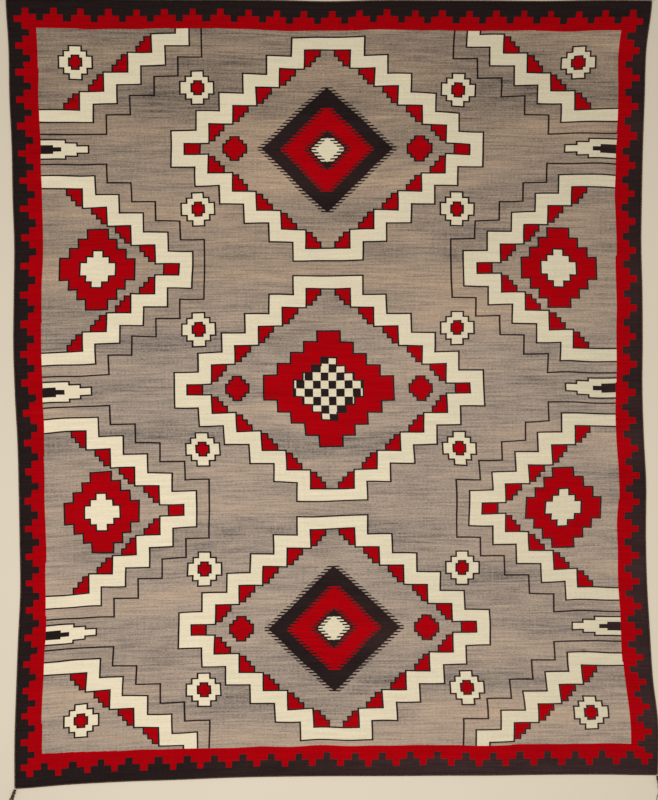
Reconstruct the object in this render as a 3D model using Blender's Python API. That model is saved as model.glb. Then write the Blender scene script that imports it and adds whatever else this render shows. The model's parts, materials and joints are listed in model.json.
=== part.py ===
"""A large hand-woven wool rug, lying flat, with its edge cords and corner tassels.

Units are metres, +Z is up. The rug lies on z = 0 with its warps along Y and its
wefts along X, and +Y is its far end. The origin is the middle of the whole rug's
box, on the floor.
"""

import math

import bmesh
import bpy
from mathutils import Vector

MILLIMETRE = 0.001

# Thickness of the woven body, and how far its rim is rounded
BODY_THICKNESS = 0.0035
RIM_ROUNDING = 0.0011
RIM_SEGMENTS = 2
RIM_ANGLE = math.radians(60)
CORNER_RADIUS = 0.006
CORNER_SEGMENTS = 5

# The four corners of the woven body, in metres from the middle of the weaving
CORNERS = {
    "top_left": Vector((-0.945, 1.144)),
    "top_right": Vector((0.925, 1.138)),
    "bottom_right": Vector((0.942, -1.104)),
    "bottom_left": Vector((-0.919, -1.144)),
}

# How far the long sides draw in from a straight line between their corners.
# Rows run at even steps from the top corner to the bottom one, in millimetres.
LONG_SIDES = (
    # left, right
    (0, 0),
    (7, 18),
    (8, 24),
    (13, 30),
    (14, 34),
    (17, 37),
    (14, 35),
    (11, 35),
    (14, 37),
    (20, 34),
    (22, 28),
    (23, 30),
    (23, 28),
    (15, 21),
    (8, 13),
    (2, -2),
    (0, 0),
)

# How far the short ends draw in, at even steps from left to right, in millimetres
SHORT_ENDS = (
    # top, bottom
    (0, 0),
    (1, 9),
    (1, 14),
    (2, 16),
    (2, 19),
    (3, 19),
    (6, 17),
    (2, 14),
    (2, 12),
    (2, 9),
    (3, 8),
    (0, 5),
    (0, 0),
)
STEPS_PER_ROW = 2

# The two-ply cords that bind the four edges
CORD_DIAMETER = 0.0034
CORD_SIDES_SETTING = 2
GAP = 0.0003

# The tassels: a twisted two-ply neck, opened out flat into strands
NECK_RADIUS = 0.0044
PLY_BULGE = 0.16
PLY_TWIST = math.radians(30)
NECK_RINGS = 22
NECK_LENGTH = 0.036
SPREAD_START = 0.64
STRANDS = 6
STRAND_WIDTH = 0.0021
STRAND_HEIGHT = 0.0022
STRAND_SPACING = 0.0025
STRAND_TIP = 0.7
STRAND_STEPS = 9
FAN_ANGLE = math.radians(34)

# Every third strand keeps its full length, and the others lose one or two of these shares
STRAND_SHORTENING = 0.14

# How soon a strand takes up its fan and its bend, and the angles that its bend runs through
FAN_ONSET = 1.6
BEND_ONSET = 2
BEND_SWEEP = math.radians(250)
BEND_SHIFT = math.radians(29)

# One row for each tassel
TASSELS = (
    # corner, lean out from straight ahead in degrees, strand length in metres, bend of its strands
    ("top_left", 24, 0.058, 0.005),
    ("top_right", 30, 0.052, -0.004),
    ("bottom_right", 14, 0.056, 0.004),
    ("bottom_left", 20, 0.062, -0.005),
)

# Colour as red, green, blue, then roughness
FINISHES = {
    "field_wool": ((0.33, 0.27, 0.21), 0.95),
    "edge_wool": ((0.05, 0.025, 0.015), 0.9),
    "tassel_wool": ((0.06, 0.03, 0.018), 0.9),
}


def clear_scene():
    """Remove every object, so that the scene holds only the rug."""
    for old in list(bpy.data.objects):
        bpy.data.objects.remove(old, do_unlink=True)


def finish(name):
    """Return the named Principled material, made on its first use."""
    if name in bpy.data.materials:
        return bpy.data.materials[name]
    colour, roughness = FINISHES[name]
    material = bpy.data.materials.new(name)
    material.use_nodes = True
    shader = material.node_tree.nodes["Principled BSDF"]
    shader.inputs["Base Color"].default_value = (*colour, 1.0)
    shader.inputs["Roughness"].default_value = roughness
    shader.inputs["Metallic"].default_value = 0.0
    return material


def add_object(name, data, material_name):
    """Link a mesh or a curve as one named sub-part with its own material."""
    piece = bpy.data.objects.new(name, data)
    bpy.context.scene.collection.objects.link(piece)
    data.materials.append(finish(material_name))
    return piece


def smooth_reading(values, place):
    """Read evenly spaced values at a place from 0 to 1, on a smooth curve through them."""
    last = len(values) - 1
    row = min(int(place * last), last - 1)
    part = place * last - row
    before = values[max(row - 1, 0)]
    start = values[row]
    end = values[row + 1]
    after = values[min(row + 2, last)]
    slope_in = (end - before) / 2
    slope_out = (after - start) / 2
    square = part * part
    cube = square * part
    return (
        start * (2 * cube - 3 * square + 1)
        + slope_in * (cube - 2 * square + part)
        + end * (3 * square - 2 * cube)
        + slope_out * (cube - square)
    )


def edge_curve(start, end, draws, inward):
    """Return the points of one edge, from corner to corner, drawn in as its table says."""
    steps = (len(draws) - 1) * STEPS_PER_ROW
    points = []
    for step in range(steps + 1):
        place = step / steps
        draw = smooth_reading(draws, place) * MILLIMETRE
        points.append(start.lerp(end, place) + inward * draw)
    return points


def woven_edges():
    """Return the four edges of the weaving, each from left to right or from top to bottom."""
    left = [row[0] for row in LONG_SIDES]
    right = [row[1] for row in LONG_SIDES]
    top = [row[0] for row in SHORT_ENDS]
    bottom = [row[1] for row in SHORT_ENDS]
    across = Vector((1, 0))
    along = Vector((0, 1))
    return {
        "left": edge_curve(CORNERS["top_left"], CORNERS["bottom_left"], left, across),
        "right": edge_curve(CORNERS["top_right"], CORNERS["bottom_right"], right, -across),
        "top": edge_curve(CORNERS["top_left"], CORNERS["top_right"], top, -along),
        "bottom": edge_curve(CORNERS["bottom_left"], CORNERS["bottom_right"], bottom, along),
    }


def rounded_corner(before, corner, after):
    """Return the points of a small round corner that joins two edges."""
    inward_one = (before - corner).normalized() * CORNER_RADIUS
    inward_two = (after - corner).normalized() * CORNER_RADIUS
    points = []
    for step in range(CORNER_SEGMENTS + 1):
        turn = step / CORNER_SEGMENTS
        keep_one = (1 - turn) ** 2
        keep_two = turn ** 2
        points.append(corner + inward_one * keep_one + inward_two * keep_two)
    return points


def body_outline(edges):
    """Return the outline of the weaving, anticlockwise from its bottom left corner."""
    loops = (
        edges["bottom"],
        edges["right"][::-1],
        edges["top"][::-1],
        edges["left"],
    )
    outline = []
    for number, edge in enumerate(loops):
        following = loops[(number + 1) % len(loops)]
        outline.extend(edge[1:-1])
        outline.extend(rounded_corner(edge[-2], edge[-1], following[1]))
    return outline


def make_woven_body(edges):
    """One flat slab with the uneven outline of the weaving and a rounded rim."""
    mesh = bpy.data.meshes.new("woven_body")
    shape = bmesh.new()
    corners = [shape.verts.new((point.x, point.y, 0)) for point in body_outline(edges)]
    underside = shape.faces.new(corners)
    raised = bmesh.ops.extrude_face_region(shape, geom=[underside])
    top = [item for item in raised["geom"] if isinstance(item, bmesh.types.BMVert)]
    bmesh.ops.translate(shape, verts=top, vec=(0, 0, BODY_THICKNESS))
    bmesh.ops.recalc_face_normals(shape, faces=shape.faces)
    shape.to_mesh(mesh)
    shape.free()
    body = add_object("woven_body", mesh, "field_wool")
    rim = body.modifiers.new("rounded_rim", "BEVEL")
    rim.width = RIM_ROUNDING
    rim.segments = RIM_SEGMENTS
    rim.limit_method = "ANGLE"
    rim.angle_limit = RIM_ANGLE
    return body


def beside(edge, outward):
    """Return a route for a cord that lies along an edge, the gap and its radius away."""
    distance = GAP + CORD_DIAMETER / 2
    route = []
    for number, point in enumerate(edge):
        before = edge[max(number - 1, 0)]
        after = edge[min(number + 1, len(edge) - 1)]
        run = (after - before).normalized()
        side = Vector((run.y, -run.x))
        if side.dot(outward) < 0:
            side = -side
        route.append(point + side * distance)
    return route


def make_edge_cord(name, edge, outward):
    """A thin cord that binds one edge of the weaving from corner to corner."""
    curve = bpy.data.curves.new(name, "CURVE")
    curve.dimensions = "3D"
    curve.bevel_depth = CORD_DIAMETER / 2
    curve.bevel_resolution = CORD_SIDES_SETTING
    curve.use_fill_caps = True
    route = beside(edge, outward)
    spline = curve.splines.new("POLY")
    spline.points.add(len(route) - 1)
    for point, place in zip(spline.points, route):
        point.co = (place.x, place.y, BODY_THICKNESS / 2, 1)
    return add_object(name, curve, "edge_wool")


def eased(value):
    """Ease a value from 0 to 1, flat at both ends."""
    value = min(max(value, 0), 1)
    return value * value * (3 - 2 * value)


def strand_columns():
    """Return the sideways places of the cell corners across the opened end of a neck."""
    half = STRANDS / 2
    return [(half - column) * STRAND_SPACING for column in range(STRANDS + 1)]


def neck_section(number):
    """Return one section of a neck as (sideways, up) pairs: two round plies that open out flat."""
    place = number / (NECK_RINGS - 1)
    opened = eased((place - SPREAD_START) / (1 - SPREAD_START))
    columns = strand_columns()
    count = 2 * len(columns)
    flat = [(side, STRAND_HEIGHT) for side in columns]
    flat += [(side, 0) for side in reversed(columns)]
    centre = NECK_RADIUS * (1 + PLY_BULGE)
    section = []
    for corner in range(count):
        angle = 2 * math.pi * (corner + 0.5) / count
        reach = NECK_RADIUS * (1 + PLY_BULGE * math.cos(2 * (angle - PLY_TWIST * number)))
        round_side = reach * math.cos(angle)
        round_up = centre + reach * math.sin(angle)
        flat_side, flat_up = flat[corner]
        side = round_side + (flat_side - round_side) * opened
        section.append((side, round_up + (flat_up - round_up) * opened))
    return section


def strand_route(column, length, bend):
    """Return the places of one strand along and across the tassel, with its width there."""
    middle = (STRANDS - 1) / 2
    start = (middle - column) * STRAND_SPACING
    swing = (middle - column) / middle * FAN_ANGLE / 2
    own_length = length * (1 - STRAND_SHORTENING * (2 * column % 3))
    places = []
    for step in range(1, STRAND_STEPS + 1):
        part = step / STRAND_STEPS
        ahead = part * own_length * math.cos(swing)
        fan = ahead * math.tan(swing) * eased(part * FAN_ONSET)
        wave = bend * part * math.sin(BEND_SWEEP * part + BEND_SHIFT * column)
        side = start + fan + wave * eased(part * BEND_ONSET)
        width = STRAND_WIDTH * (1 - (1 - STRAND_TIP) * part)
        places.append((ahead, side, width))
    return places


def make_tassel(corner, lean, strand_length, bend):
    """A twisted neck whose far end opens into separate strands that lie on the floor."""
    outward_x = 1 if CORNERS[corner].x > 0 else -1
    outward_y = 1 if CORNERS[corner].y > 0 else -1
    angle = math.radians(lean)
    ahead = Vector((outward_x * math.sin(angle), outward_y * math.cos(angle), 0))
    side = Vector((-ahead.y, ahead.x, 0))
    up = Vector((0, 0, 1))
    seat = GAP + CORD_DIAMETER + GAP
    root = CORNERS[corner].to_3d() + Vector((outward_x * GAP, outward_y * seat, 0))

    shape = bmesh.new()

    def add_point(along, across, height):
        return shape.verts.new(root + ahead * along + side * across + up * height)

    rings = []
    for number in range(NECK_RINGS):
        along = NECK_LENGTH * number / (NECK_RINGS - 1)
        rings.append([add_point(along, across, height) for across, height in neck_section(number)])
    count = len(rings[0])
    for near, far in zip(rings, rings[1:]):
        for corner_number in range(count):
            following = (corner_number + 1) % count
            shape.faces.new((near[corner_number], near[following], far[following], far[corner_number]))
    shape.faces.new(rings[0][::-1])

    for column in range(STRANDS):
        end = rings[-1]
        opposite = count - 1 - column
        cell = (end[column], end[column + 1], end[opposite - 1], end[opposite])
        face = shape.faces.new(cell)
        gap_share = (STRAND_SPACING - STRAND_WIDTH) / 2
        bmesh.ops.inset_individual(shape, faces=[face], thickness=gap_share, use_even_offset=True)
        loop = list(face.verts)
        shape.faces.remove(face)
        for along, across, width in strand_route(column, strand_length, bend):
            reach = NECK_LENGTH + along
            following_loop = [
                add_point(reach, across + width / 2, STRAND_HEIGHT),
                add_point(reach, across - width / 2, STRAND_HEIGHT),
                add_point(reach, across - width / 2, 0),
                add_point(reach, across + width / 2, 0),
            ]
            for number in range(4):
                other = (number + 1) % 4
                shape.faces.new((loop[number], loop[other], following_loop[other], following_loop[number]))
            loop = following_loop
        shape.faces.new(loop)

    bmesh.ops.recalc_face_normals(shape, faces=shape.faces)
    name = "corner_tassel_" + corner
    mesh = bpy.data.meshes.new(name)
    shape.to_mesh(mesh)
    shape.free()
    return add_object(name, mesh, "tassel_wool")


def centre_on_floor(pieces):
    """Hang the pieces on one empty and move it, so that the middle of their box is the origin."""
    finished = bpy.context.evaluated_depsgraph_get()
    spots = []
    for piece in pieces:
        shown = piece.evaluated_get(finished)
        spots.extend(vertex.co.copy() for vertex in shown.to_mesh().vertices)
        shown.to_mesh_clear()
    low = Vector(min(spot[axis] for spot in spots) for axis in range(3))
    high = Vector(max(spot[axis] for spot in spots) for axis in range(3))
    rug = bpy.data.objects.new("rug", None)
    bpy.context.scene.collection.objects.link(rug)
    for piece in pieces:
        piece.parent = rug
    rug.location = (-(low.x + high.x) / 2, -(low.y + high.y) / 2, -low.z)


def main():
    """Make the rug from its table of edges."""
    clear_scene()
    edges = woven_edges()
    pieces = [
        make_woven_body(edges),
        make_edge_cord("end_cord_top", edges["top"], Vector((0, 1))),
        make_edge_cord("end_cord_bottom", edges["bottom"], Vector((0, -1))),
        make_edge_cord("side_cord_left", edges["left"], Vector((-1, 0))),
        make_edge_cord("side_cord_right", edges["right"], Vector((1, 0))),
    ]
    for corner, lean, strand_length, bend in TASSELS:
        pieces.append(make_tassel(corner, lean, strand_length, bend))
    centre_on_floor(pieces)


main()
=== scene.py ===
"""The looks of a large hand-woven wool rug with a stepped border, bound edges and corner tassels.

The weaving is counted the way a weaver counts it: across in warps and along in weft rows,
from the middle of the rug.
"""

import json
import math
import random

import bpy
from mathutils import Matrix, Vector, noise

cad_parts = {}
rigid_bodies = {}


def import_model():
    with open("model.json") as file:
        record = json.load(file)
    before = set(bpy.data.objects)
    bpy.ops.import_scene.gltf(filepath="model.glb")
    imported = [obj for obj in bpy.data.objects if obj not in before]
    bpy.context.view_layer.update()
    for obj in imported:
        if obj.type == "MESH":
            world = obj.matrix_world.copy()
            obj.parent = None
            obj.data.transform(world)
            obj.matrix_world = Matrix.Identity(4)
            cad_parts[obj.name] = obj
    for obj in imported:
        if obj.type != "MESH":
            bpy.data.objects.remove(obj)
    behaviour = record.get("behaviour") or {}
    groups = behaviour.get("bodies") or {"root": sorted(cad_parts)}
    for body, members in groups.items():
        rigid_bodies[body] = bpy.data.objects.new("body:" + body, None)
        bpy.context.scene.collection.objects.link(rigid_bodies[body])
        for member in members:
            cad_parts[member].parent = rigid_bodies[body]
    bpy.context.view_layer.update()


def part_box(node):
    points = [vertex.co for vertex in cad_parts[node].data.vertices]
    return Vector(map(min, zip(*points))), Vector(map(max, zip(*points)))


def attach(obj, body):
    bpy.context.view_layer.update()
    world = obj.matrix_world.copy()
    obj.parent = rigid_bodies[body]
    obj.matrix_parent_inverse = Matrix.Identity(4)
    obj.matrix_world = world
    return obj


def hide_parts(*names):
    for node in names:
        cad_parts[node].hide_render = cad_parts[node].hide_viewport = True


bl_info = {
    "name": "Hand-woven Rug",
    "version": (1, 0, 0),
    "blender": (4, 5, 0),
    "location": "View3D > Sidebar > Rug",
    "description": "Weaves a flat wool rug, binds its edges and ties its corner tassels",
    "category": "Add Mesh",
}

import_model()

MILLIMETRE = 0.001
UP = Vector((0, 0, 1))
BODY_LOW, BODY_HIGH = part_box("woven_body")

# The four corners of the woven body, in metres from the middle of the weaving
CORNERS = {
    "top_left": Vector((-0.945, 1.144, 0)),
    "top_right": Vector((0.925, 1.138, 0)),
    "bottom_right": Vector((0.942, -1.104, 0)),
    "bottom_left": Vector((-0.919, -1.144, 0)),
}

# How far the edges draw in from a straight line between their corners, in millimetres,
# at even steps from the top corner to the bottom one, or from the left corner to the right one
LEFT_DRAWS = (0, 7, 8, 13, 14, 17, 14, 11, 14, 20, 22, 23, 23, 15, 8, 2, 0)
RIGHT_DRAWS = (0, 18, 24, 30, 34, 37, 35, 35, 37, 34, 28, 30, 28, 21, 13, -2, 0)
TOP_DRAWS = (0, 1, 1, 2, 2, 3, 6, 2, 2, 2, 3, 0, 0)
BOTTOM_DRAWS = (0, 9, 14, 16, 19, 19, 17, 14, 12, 9, 8, 5, 0)

# The cloth's own even measure, which its drawn-in outline stretches a little
CLOTH_HALF_WIDTH = 0.92
CLOTH_HALF_LENGTH = 1.13
OUTLINE_STATIONS = 160

# The body's mesh
MESH_STEP = 0.0098
RIM_INSET = 0.0009
CORNER_PULL = 0.0004

# How far each part of a bake map stays inside its place
BAKE_MARGIN = 0.002
STRIP_MARGIN = 0.06

# Slow unevenness of the cloth as it lies: waves for each metre, height in metres
LIE = (
    # across, along, height, seed
    (1.7, 1.3, 0.0011, 3.1),
    (4.1, 3.3, 0.0005, 8.7),
)
EDGE_LIFT = 0.0011
EDGE_LIFT_REACH = 0.09
EDGE_LIFT_WAVES = 5.3
EDGE_LIFT_SEED = 1.3

# The two-ply cords that bind the edges
CORD_DIAMETER = 0.0034
CORD_PLY_SHARE = 0.27
CORD_GAP = 0.0003
CORD_TUCK = 0.0004
CORD_PITCH = 0.0085
CORD_STEP = 0.00105
CORD_SIDES = 6

# The tassels: a twisted neck that opens into strands
NECK_RADIUS = 0.0051
NECK_PLY_RADIUS = 0.00265
NECK_PITCH = 0.0206
NECK_LENGTH = 0.036
NECK_START = 0.0036
NECK_START_WIDTH = 0.45
NECK_SINKING = 0.62
NECK_THINNING = 0.5
NECK_STEP = 0.0009
NECK_SIDES = 12
SPLIT_START = 0.020
PLY_END = 0.030
STRANDS = 6
STRAND_SPACING = 0.0025
STRAND_SHORTENING = 0.14
STRAND_START_SPREAD = 0.45
STRAND_DROP_ONSET = 1.1
STRAND_PLY_RADIUS = 0.00054
STRAND_PLY_OFFSET = 0.00046
STRAND_PITCH = 0.0068
STRAND_SIDES = 6
INNER_SAMPLES = 19
OUTER_SAMPLES = 57
TIP_SAMPLES = 4
FAN_ANGLE = math.radians(34)
FAN_ONSET = 1.6
BEND_ONSET = 2
BEND_SWEEP = math.radians(250)
BEND_SHIFT = math.radians(29)

# Frayed fibres at the end of each strand
FRAY_FIBRES = 9
FRAY_LENGTH = 0.009
FRAY_SHORTEST = 0.5
FRAY_TUCK = 0.002
FRAY_SPREAD = 0.0028
FRAY_RADIUS = 0.00014
FRAY_STEPS = 6
FRAY_SIDES = 3

# One row for each tassel
TASSELS = (
    # corner, lean out from straight ahead in degrees, strand length and bend in metres, seed
    ("top_left", 24, 0.058, 0.005, 80),
    ("top_right", 30, 0.052, -0.004, 93),
    ("bottom_right", 14, 0.056, 0.004, 98),
    ("bottom_left", 20, 0.062, -0.005, 97),
)

# The yarns, as the chart numbers them
FIELD = 0
CREAM = 1
RED = 2
DARK = 3
SAME_YARN = 0.4

# The field's lattice of stepped diamonds, in warps and rows
FIELD_HALF_WARPS = 323
LATTICE_ROWS = 318
LAST_HEART_ROW = 2.5 * LATTICE_ROWS

# The stepped shapes: sizes across in warps, sizes along in rows
SHAPE_INPUTS = ("Half Width", "Step Width", "Step Height", "Steps")
SHAPES = {
    # name: half width, step width, step height, steps
    "middle": (176, 27, 50, 6),
    "side": (170, 27, 50, 5),
    "heart": (72, 15, 30, 5),
    "kernel": (38, 10, 20, 4),
    "side_heart": (41, 10, 26, 4),
    "side_kernel": (19, 7, 16, 3),
    "cross": (18, 6, 14, 3),
    "cross_kernel": (6, 3, 8, 2),
    "small_cross": (12, 4, 10, 3),
    "root": (54, 13, 8, 3),
    "root_kernel": (24, 9, 6, 2),
}

# The layers of each motif, from the first laid to the last:
# shape, yarn, and how far it is drawn in across and along
MIDDLE_BAND = (
    ("middle", DARK, 0, 0),
    ("middle", CREAM, 2, 4),
    ("middle", DARK, 15, 34),
    ("middle", FIELD, 17, 38),
)
SIDE_BAND = (
    ("side", DARK, -14, -30),
    ("side", FIELD, -12, -26),
    ("side", DARK, 0, 0),
    ("side", CREAM, 2, 4),
    ("side", DARK, 15, 34),
    ("side", FIELD, 17, 38),
)
SIDE_HEART = (
    ("side_heart", DARK, -2, -4),
    ("side_heart", RED, 0, 0),
    ("side_kernel", DARK, -2, -4),
    ("side_kernel", CREAM, 0, 0),
)
CROSS = (
    ("cross", DARK, -2, -4),
    ("cross", CREAM, 0, 0),
    ("cross_kernel", DARK, -2, -4),
    ("cross_kernel", RED, 0, 0),
)
SMALL_CROSS = (
    ("small_cross", DARK, -2, -4),
    ("small_cross", RED, 0, 0),
)
ROOT = (
    ("root", DARK, -2, -4),
    ("root", CREAM, 0, 0),
    ("root_kernel", DARK, 0, 0),
)
HEART = (
    ("heart", DARK, -2, -4),
    ("heart", RED, 0, 0),
    ("kernel", DARK, -2, -4),
)

# The small stepped triangles inside a band: the dark edge first, then the red
CORNER_FILLS = (
    # yarn, spread
    (DARK, 2),
    (RED, 0),
)
CORNER_CELL = {"Cell Width": 5, "Cell Height": 13, "Cells": 3}
LAST_FILL_ROW = 940

# The serrated lozenges in the outer diamonds, from the outside in
LOZENGES = (
    # yarn, half width in warps, half height in rows
    (DARK, 74, 166),
    (RED, 48, 110),
    (DARK, 22, 52),
    (CREAM, 13, 32),
)
TOOTH = {"Tooth Length": 6, "Tooth Rows": 4}

# The checked kernel of the middle diamond
CHECK_WARPS = 9
CHECK_ROWS = 22

# Where the smaller motifs sit, in warps from the middle or from the field's edge, and in rows
CROSS_WARPS = 146
CORNER_CROSS = (281, 864)
SMALL_CROSS_WARPS = 104
SIDE_HEART_WARPS = 62

# The border's depth: in weft rows at the ends, in warps at the sides
DEPTHS = {
    # side: depth, and its change, from left to right at the ends and in one sway at the sides
    "top": (73, 7),
    "bottom": (78, 1),
    "left": (30.3, 2.0),
    "right": (29.4, -1.2),
}

# The frame's flare at the bottom left corner: share of its depth, and share of the width
FLARE = 0.13
FLARE_REACH = 0.17

# The border's steps from the outside in, as shares of its depth
END_ROWS = (0.32, 0.54, 0.76)
SIDE_ROWS = (0.22, 0.49, 0.74)

# The tips of the border: how many there are, and how they drift from even steps, in tips
TIPS = {
    # side: count, share of the side before the first, drift in one wave, drift in half a wave
    "top": (23, 0.0266, 0, -0.1),
    "bottom": (23, 0.0223, 0, -0.17),
    "left": (28, 0.0262, 0.27, -0.15),
    "right": (28, 0.0262, 0.15, -0.68),
}
TIP_HALF = 0.114
TONGUE_HALF = 0.132

# Every unevenness is smooth noise over a flat map, or over the floor, in metres
NOISES = {
    # name: waves for each metre, detail, seed
    "bands": ((1.6, 11, 1), 3, 2.3),
    "streaks": ((9, 190, 1), 3, 5.9),
    "flecks": ((140, 360, 1), 2, 13.1),
    "ribs": ((330, 14, 1), 1, 19.7),
    "fibres": ((160, 1100, 1), 2, 7.7),
    "patches": ((1.4, 2.2, 1), 2, 31),
    "slow stray across": ((2, 4, 1), 1, 11),
    "quick stray across": ((14, 6, 1), 1, 14),
    "slow stray along": ((4, 2, 1), 1, 17),
    "quick stray along": ((6, 12, 1), 1, 20),
    "cord patches": ((26, 26, 26), 3, 104),
    "floor grain": ((3, 3, 3), 4, 3),
}

# How far the noise is spread, and the slow part of the hand's straying
NOISE_GAIN = 5
SLOW_SHARE = 0.6

# What a reading of one adds to each share, shade, height or roughness, over its even part
TONE = {"streaks": 0.5, "flecks": 0.4, "ribs": 0.1}
TAN_SHARE = {"even": 0.34, "bands": 0.45, "patches": 0.15, "tone": 0.5, "far_half": 0.35}
FIELD_SHADE = {"even": 1.07, "bands": 0.35, "patches": 0.08, "tone": 0.72, "painted_top_shade": -0.2}
CREAM_SHADE = {"even": 0.95, "patches": 0.04, "tone": 0.16, "across": -0.1}
RED_SHADE = {"even": 1, "bands": 0.06, "patches": 0.04, "tone": 0.28}
# The dark yarn turns browner at random, and also lighter towards the bottom right as painted light
BROWN_AND_PAINTED_LIGHT_SHARE = {"even": 0.1, "bands": 0.3, "patches": 0.3, "across": 0.5, "along": -0.25}
DARK_SHADE = {"even": 1, "tone": 0.4, "fibres": 0.1}
CLOTH_HEIGHT = {"beads": 1, "tone": 0.3, "fibres": 0.16}
CLOTH_ROUGHNESS = {"even": 0.9, "fibres": 0.05}
LIGHT_SHARE = {"even": 0.25, "patches": 0.5, "tone": 0.5}
# The slant part of the cord's shade is painted shade and highlight along the twist of its fibres
CORD_SHADE = {"even": 0.95, "slant": 0.1, "fibres": 0.14}
CORD_HEIGHT = {"slant": 0.5, "fibres": 0.3}
CORD_ROUGHNESS = {"even": 0.88, "fibres": 0.05}
FLOOR_SHADE = {"even": 1, "grain": 0.015}

# Where the field changes towards the top: start and length of the change, in metres. The first makes the
# field browner; the second darkens it, as painted shade over the top end
FAR_HALF = (0.1, 0.25)
PAINTED_TOP_SHADE_RAMP = (0.62, 0.2)

# The weave's relief, in parts of a rib, and how dark the painted shade in the furrows between the ribs is
RIB_HEIGHT = 0.75
BEAD_HEIGHT = 0.18
FURROW_START = 0.86
FURROW_SHADE = 0.22

# Bumps: metres for a height of one, and strength
CLOTH_BUMP = (0.0006, 0.8)
CORD_BUMP = (0.00012, 0.9)

# The wool's finish, and the turns of the fibres along and round a cord for each metre
WOOL_SPECULAR = 0.02
SHEEN_ROUGHNESS = 0.3
CLOTH_SHEEN = 0.08
CORD_SHEEN = 0.1
EDGE_SLANT = 260
TASSEL_SLANT = 200
ROUND_SLANT = 900

# Small stains: place from the middle of the weaving and reach, in metres
STAINS = (
    # across, along, reach across, reach along, strength
    (0.727, -0.770, 0.008, 0.006, 0.34),
    (-0.735, 0.838, 0.014, 0.005, 0.22),
)
STAIN_SOFTNESS = 1.4

# How the nodes of a tree are spread
NODES_IN_ROW = 14
NODE_SPACING = (220, 240)

# A Mix node's own places for its two numbers, its two colours and the mixed colour
MIX_NUMBERS = (2, 3)
MIX_COLOURS = (6, 7)
MIXED_COLOUR = 2

# The stage, in metres: the floor, the lamp and how far the camera sees
FLOOR_HALF = 60
FLOOR_DROP = 0.0002
FLOOR_ROUGHNESS = 0.75
KEY_PLACE = (-0.22, -0.6, 3.0)
KEY_SIZE = 1.8
SKY_COLOUR = (1, 0.99, 0.97, 1)
CAMERA_REACH = 100


def shift_to_frame():
    """Return the move that takes the weaving's own middle to its place in the frame."""
    outline = [cloth_place(across, along) for across, along in outline_stations()]
    low = Vector((min(place.x for place in outline), min(place.y for place in outline), 0))
    return Vector((BODY_LOW[0], BODY_LOW[1], 0)) - low


def outline_stations():
    """Return shares across and along for points all round the outline."""
    stations = []
    for number in range(OUTLINE_STATIONS + 1):
        share = number / OUTLINE_STATIONS
        stations += [(share, 0), (share, 1), (0, share), (1, share)]
    return stations


def smooth_reading(values, place):
    """Read evenly spaced values at a place from 0 to 1, on a smooth curve through them."""
    last = len(values) - 1
    row = min(int(place * last), last - 1)
    part = place * last - row
    before = values[max(row - 1, 0)]
    start = values[row]
    end = values[row + 1]
    after = values[min(row + 2, last)]
    slope_in = (end - before) / 2
    slope_out = (after - start) / 2
    square = part * part
    cube = square * part
    return (
        start * (2 * cube - 3 * square + 1)
        + slope_in * (cube - 2 * square + part)
        + end * (3 * square - 2 * cube)
        + slope_out * (cube - square)
    )


def edge_place(start, end, draws, inward, share):
    """Return one point of an edge, drawn in as its table says."""
    draw = smooth_reading(draws, share) * MILLIMETRE
    return CORNERS[start].lerp(CORNERS[end], share) + inward * draw


def cloth_place(across, along):
    """Return the place in the outline of a share across from the left and along from the top."""
    left = edge_place("top_left", "bottom_left", LEFT_DRAWS, Vector((1, 0, 0)), along)
    right = edge_place("top_right", "bottom_right", RIGHT_DRAWS, Vector((-1, 0, 0)), along)
    top = edge_place("top_left", "top_right", TOP_DRAWS, Vector((0, -1, 0)), across)
    bottom = edge_place("bottom_left", "bottom_right", BOTTOM_DRAWS, Vector((0, 1, 0)), across)
    upper = CORNERS["top_left"].lerp(CORNERS["top_right"], across)
    lower = CORNERS["bottom_left"].lerp(CORNERS["bottom_right"], across)
    return left.lerp(right, across) + top.lerp(bottom, along) - upper.lerp(lower, along)


SHIFT = shift_to_frame()


def eased(value):
    """Ease a value from 0 to 1, flat at both ends."""
    value = min(max(value, 0), 1)
    return value * value * (3 - 2 * value)


def lie_height(place):
    """Return how far the cloth stands off the floor at a place."""
    height = 0
    for across, along, amount, seed in LIE:
        height += amount * noise.noise(Vector((place.x * across, place.y * along, seed)))
    edge = min(
        CLOTH_HALF_WIDTH - abs(place.x),
        CLOTH_HALF_LENGTH - abs(place.y),
    )
    near_edge = 1 - eased(edge / EDGE_LIFT_REACH)
    lift = noise.noise(Vector((place.x, place.y, EDGE_LIFT_SEED)) * EDGE_LIFT_WAVES)
    height += EDGE_LIFT * near_edge * lift
    return max(height, 0)


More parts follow.
